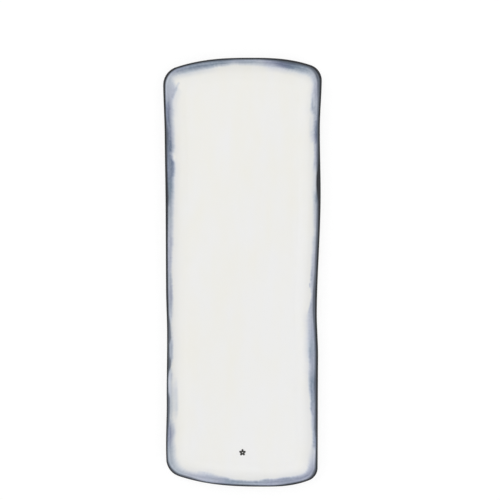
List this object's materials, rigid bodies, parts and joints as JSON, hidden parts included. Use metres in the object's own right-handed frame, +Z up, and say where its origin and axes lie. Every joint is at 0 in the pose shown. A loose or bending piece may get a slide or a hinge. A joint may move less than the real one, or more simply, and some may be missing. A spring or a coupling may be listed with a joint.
{
  "type": "serving plate",
  "caption": "Long hand-formed stoneware serving plate with waved sides, bowed ends, an upturned lip, white glaze, a blue-grey edge wash, a dark rim line and a low foot ring.",
  "frame": {"origin": "on the surface the plate stands on, under the middle of its outline", "axes": "+Y along the plate towards its wide end, +Z up out of the well, +X to the right seen from above with the wide end away"},
  "size_m": [0.148, 0.4, 0.018],
  "materials": {
    "bare_clay": "unglazed fired buff stoneware, matt and slightly gritty",
    "white_glaze": "warm white glaze, smooth and glossy with faint streaks",
    "blue_grey_wash": "translucent blue-grey brushed wash under a glossy glaze",
    "charcoal_line": "charcoal underglaze colour, glossy"
  },
  "bodies": {
    "root": {"clay_body": "bare_clay", "foot_ring": "bare_clay", "face_glaze": "white_glaze", "edge_wash": "blue_grey_wash", "rim_line": "charcoal_line", "back_glaze": "white_glaze", "base_glaze": "white_glaze", "blossom_mark": "charcoal_line"}
  },
  "joints": []
}
